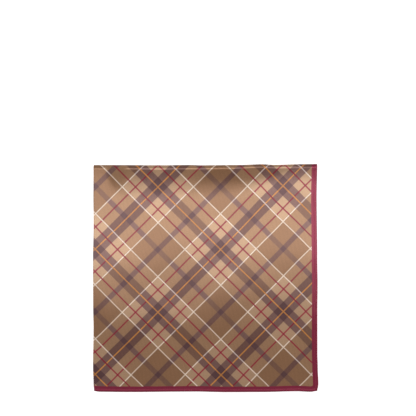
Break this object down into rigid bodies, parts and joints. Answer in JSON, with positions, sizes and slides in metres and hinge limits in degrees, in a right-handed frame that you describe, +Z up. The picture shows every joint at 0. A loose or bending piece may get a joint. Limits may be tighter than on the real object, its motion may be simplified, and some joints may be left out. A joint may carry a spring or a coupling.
{
  "type": "folded headscarf",
  "caption": "Square printed headscarf of light silky twill with a narrow turned hem, lying folded into a layered square, print up, with a soft roll along its top fold.",
  "frame": {"origin": "under the middle of the folded square, on the surface that it lies on", "axes": "+X to the right of the folded square, away from its first fold; +Y to its top fold, away from the hems; +Z up, out of the printed face"},
  "size_m": [0.4468, 0.4522, 0.0174],
  "materials": {
    "printed_twill": "satin"
  },
  "bodies": {
    "root": {"headscarf": "printed_twill"}
  },
  "joints": []
}
